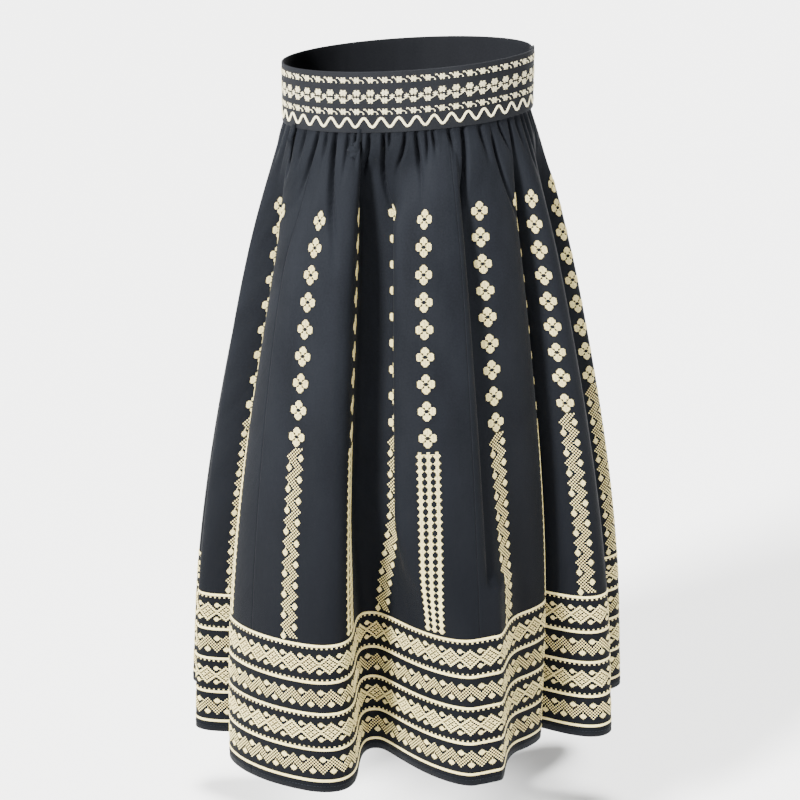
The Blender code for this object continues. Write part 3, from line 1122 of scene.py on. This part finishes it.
def embroider_band(strip, motifs, thread):
    """Three rows of flowers round the waistband and the wave line under them."""

    def even(drops):
        return np.ones_like(drops)

    def face(along, down, lifts):
        return strip.at(along, -down, lifts + BAND_THICKNESS / 2)

    placed = []
    for number in range(int((strip.length - BAND_START) / BAND_PITCH)):
        along = BAND_START + (number + 0.25) * BAND_PITCH
        for height in HOOK_ROWS:
            placed.append((motifs["band_flower"], along, -height, None))
        placed.append((motifs["twins"], along, -TWIN_HIGH, None))
    data = gather_motifs("embroidery_waistband", placed, face, even)
    flowers = finished("embroidery_waistband", data, thread)

    waves = int((strip.length - WAVE_START) / WAVE_PITCH)
    route = []
    for station in range(waves * WAVE_STEPS + 1):
        turn = 2 * math.pi * station / WAVE_STEPS
        height = (WAVE_LOW + WAVE_HIGH) / 2 + (WAVE_HIGH - WAVE_LOW) / 2 * math.sin(turn)
        route.append((WAVE_START + station * WAVE_PITCH / WAVE_STEPS, height))
    wave = motif_of("wave", lambda motif: add_thread(motif, route, WAVE_WIDTH, WAVE_LIFT))
    data = gather_motifs("wave_line_waistband", [(wave, 0.0, 0.0, None)], face, even)
    return [flowers, finished("wave_line_waistband", data, thread)]


def make_motifs():
    """Every motif, worked once."""
    return {
        "flower": motif_of("flower", flower),
        "lattice": motif_of("lattice", lattice),
        "upright": motif_of("upright zigzag", upright_zigzag),
        "line": line_motif("line", LINE_WIDTH),
        "diamonds": motif_of("diamond", border_diamond),
        "zigzag": motif_of("zigzag", border_zigzag),
        "tooth": motif_of("tooth", tooth),
        "hem_stitch": motif_of("hem stitch", hem_stitch),
        "band_flower": motif_of("band flower", band_flower),
        "twins": motif_of("twin flowers", twin_flowers),
    }


def plain_floor():
    """A wide pale floor that fills the picture."""
    ground = bmesh.new()
    bmesh.ops.create_grid(ground, x_segments=1, y_segments=1, size=FLOOR_REACH)
    bmesh.ops.translate(ground, verts=ground.verts, vec=(0, FLOOR_BACK, -FLOOR_DROP))
    data = bpy.data.meshes.new("floor")
    ground.to_mesh(data)
    ground.free()
    material = bpy.data.materials.new("pale floor")
    material.use_nodes = True
    shader = material.node_tree.nodes["Principled BSDF"]
    value(shader, "Base Color", PALE)
    value(shader, "Roughness", 0.9)
    data.materials.append(material)
    floor = bpy.data.objects.new("floor", data)
    bpy.context.scene.collection.objects.link(floor)


def add_sun(name, toward, softness, power):
    """A soft distant light that shines from a direction."""
    lamp = bpy.data.lights.new(name, "SUN")
    lamp.angle = math.radians(softness)
    lamp.energy = power
    light = bpy.data.objects.new(name, lamp)
    light.location = toward
    east, north, up = toward
    light.rotation_euler = (math.atan2(math.hypot(east, north), up), 0, math.atan2(east, -north))
    bpy.context.scene.collection.objects.link(light)


def studio():
    """Camera of the photograph, three distant lights, a dim room and the floor."""
    camera_data = bpy.data.cameras.new("camera")
    camera_data.lens = CAMERA_LENS
    camera_data.sensor_width = SENSOR
    camera = bpy.data.objects.new("camera", camera_data)
    camera.location = CAMERA_PLACE
    camera.rotation_euler = (math.radians(90 - CAMERA_DOWN), 0, 0)
    bpy.context.scene.collection.objects.link(camera)
    bpy.context.scene.camera = camera
    world = bpy.data.worlds.new("room")
    world.use_nodes = True
    sky = world.node_tree.nodes["Background"]
    value(sky, "Color", (1.0, 1.0, 1.0, 1.0))
    value(sky, "Strength", ROOM_LIGHT)
    bpy.context.scene.world = world
    for name, toward, softness, power in LIGHTS:
        add_sun(name, toward, softness, power)
    plain_floor()


def main():
    """Makes every piece and the room."""
    cloth = Cloth()
    strip = Strip()
    weave = weave_group()
    satin = stitch_group()
    # the skirt's worn patches carry painted light: lighter near the waist, gone toward the hem
    skirt_cotton = surfaced("skirt cotton", weave, "Worn and top light", (NAVY, NAVY_WORN_AND_LIT), SKIRT_COTTON)
    band_cotton = surfaced("waistband cotton", weave, "Worn and top light", (BAND_NAVY, BAND_WORN), BAND_COTTON)
    cream = surfaced("cream embroidery thread", satin, "Tone", (CREAM, CREAM_DEEP), SATIN_THREAD)
    white = surfaced("waistband embroidery thread", satin, "Tone", (WHITE_THREAD, WHITE_DEEP), SATIN_THREAD)
    dark = surfaced("navy sewing thread", satin, "Tone", (DARK_THREAD, NAVY), SEWING_THREAD)
    motifs = make_motifs()

    band = make_waistband(strip, band_cotton)
    band_work = embroider_band(strip, motifs, white)

    gore_work = embroider_gores(cloth, motifs, cream)
    hems = sew_hems(cloth, motifs, dark)
    for number in range(len(GORES)):
        gore = make_gore(number, cloth, skirt_cotton)
    for motif in motifs.values():
        bpy.data.meshes.remove(motif)
    studio()


main()
